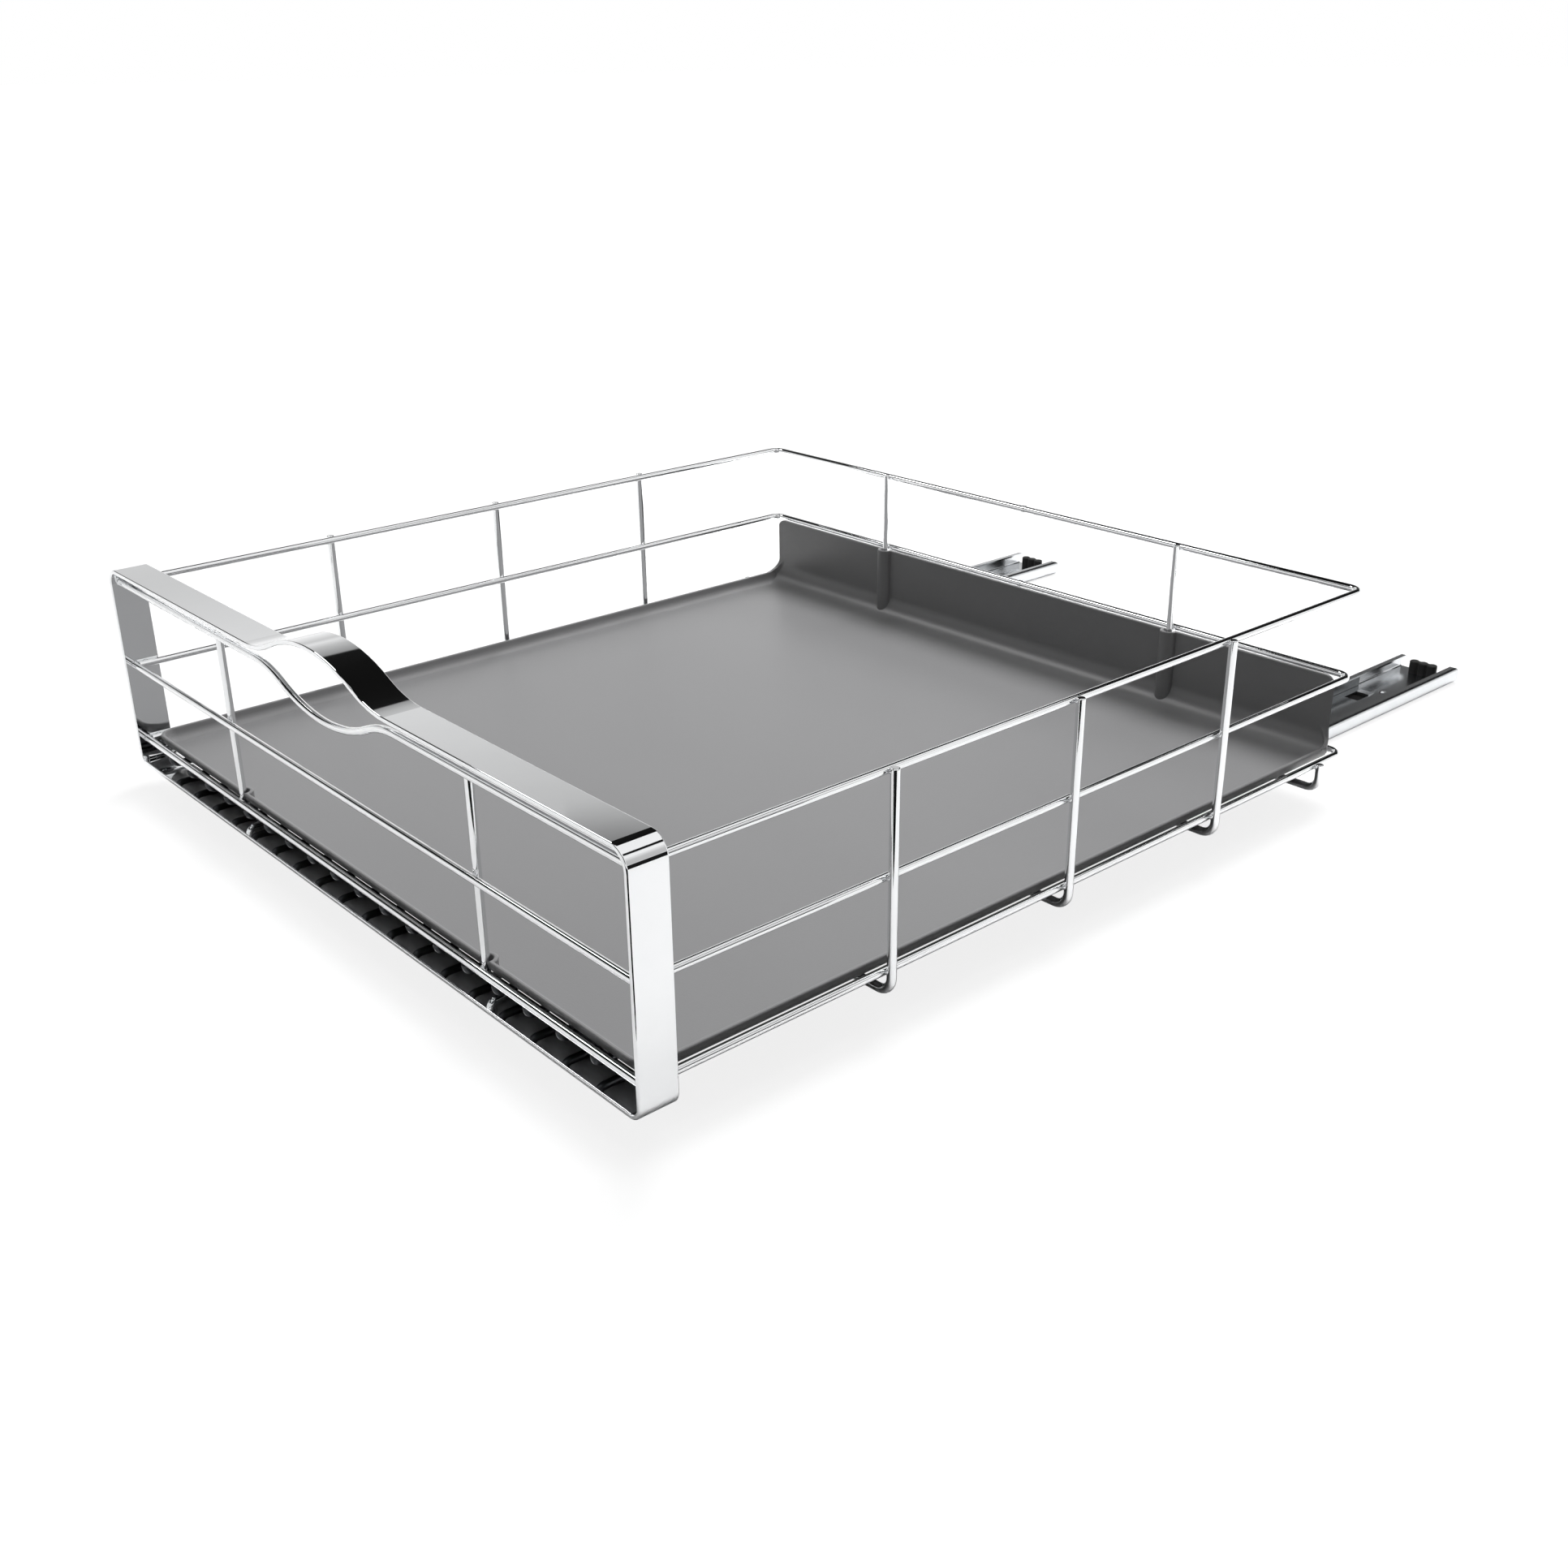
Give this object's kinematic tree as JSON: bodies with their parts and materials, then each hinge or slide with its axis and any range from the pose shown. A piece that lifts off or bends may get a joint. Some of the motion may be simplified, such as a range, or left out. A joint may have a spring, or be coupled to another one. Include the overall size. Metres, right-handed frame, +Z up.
{
  "type": "pull-out cabinet organizer",
  "caption": "Chromed wire basket with arched flat-bar handle frame and moulded tray, on two full-extension ball-bearing slides for a cabinet floor.",
  "frame": {"origin": "on the cabinet floor, midway between the two slides and midway along their outer rails", "axes": "+X to the right of a person who stands in front, +Y into the cabinet, +Z up"},
  "size_m": [0.5042, 0.734, 0.149],
  "materials": {
    "chrome": "polished chrome plate",
    "tray_plastic": "fine matte texture",
    "zinc_steel": "bright zinc-plated rolled steel",
    "cage_steel": "plain rolled steel strip",
    "ball_steel": "bright hardened steel",
    "saddle_plastic": "black moulded plastic",
    "rubber": "matte black rubber"
  },
  "bodies": {
    "rails": {"outer_rail_left": "zinc_steel", "outer_rail_right": "zinc_steel", "bumper_left": "rubber", "bumper_right": "rubber"},
    "basket": {"front_frame": "chrome", "front_top_wire": "chrome", "front_middle_wire": "chrome", "front_bottom_wire": "chrome", "top_rail": "chrome", "middle_rail": "chrome", "bottom_rail": "chrome", "cross_wire_front": "chrome", "cross_wire_middle": "chrome", "cross_wire_back": "chrome", "rear_latch_wire": "chrome", "lengthwise_wire_left": "chrome", "lengthwise_wire_right": "chrome", "floor_wires": "chrome", "tray": "tray_plastic", "inner_member_left": "zinc_steel", "carrier_left": "zinc_steel", "saddles_left": "saddle_plastic", "clamps_left": "zinc_steel", "screws_left": "ball_steel", "inner_member_right": "zinc_steel", "carrier_right": "zinc_steel", "saddles_right": "saddle_plastic", "clamps_right": "zinc_steel", "screws_right": "ball_steel"},
    "middle_left": {"middle_member_left": "zinc_steel"},
    "outer_cage_left": {"outer_cage_left": "cage_steel", "outer_balls_left": "ball_steel"},
    "inner_cage_left": {"inner_cage_left": "cage_steel", "inner_balls_left": "ball_steel"},
    "middle_right": {"middle_member_right": "zinc_steel"},
    "outer_cage_right": {"outer_cage_right": "cage_steel", "outer_balls_right": "ball_steel"},
    "inner_cage_right": {"inner_cage_right": "cage_steel", "inner_balls_right": "ball_steel"}
  },
  "joints": [
    {"name": "basket_pull", "type": "slide", "parent": "rails", "child": "basket", "axis": [0, -1, 0], "range_m": [-0.225, 0.275]},
    {"name": "middle_left_slide", "type": "slide", "parent": "rails", "child": "middle_left", "axis": [0, -1, 0], "range_m": [-0.113, 0.138]},
    {"name": "outer_cage_left_slide", "type": "slide", "parent": "rails", "child": "outer_cage_left", "axis": [0, -1, 0], "range_m": [-0.05675, 0.06925]},
    {"name": "inner_cage_left_slide", "type": "slide", "parent": "rails", "child": "inner_cage_left", "axis": [0, -1, 0], "range_m": [-0.16925, 0.20675]},
    {"name": "middle_right_slide", "type": "slide", "parent": "rails", "child": "middle_right", "axis": [0, -1, 0], "range_m": [-0.113, 0.138]},
    {"name": "outer_cage_right_slide", "type": "slide", "parent": "rails", "child": "outer_cage_right", "axis": [0, -1, 0], "range_m": [-0.05675, 0.06925]},
    {"name": "inner_cage_right_slide", "type": "slide", "parent": "rails", "child": "inner_cage_right", "axis": [0, -1, 0], "range_m": [-0.16925, 0.20675]}
  ],
  "couplings": [
    {"joint": "middle_left_slide", "follows": "basket_pull", "ratio": 0.5},
    {"joint": "outer_cage_left_slide", "follows": "basket_pull", "ratio": 0.25},
    {"joint": "inner_cage_left_slide", "follows": "basket_pull", "ratio": 0.75},
    {"joint": "middle_right_slide", "follows": "basket_pull", "ratio": 0.5},
    {"joint": "outer_cage_right_slide", "follows": "basket_pull", "ratio": 0.25},
    {"joint": "inner_cage_right_slide", "follows": "basket_pull", "ratio": 0.75}
  ]
}
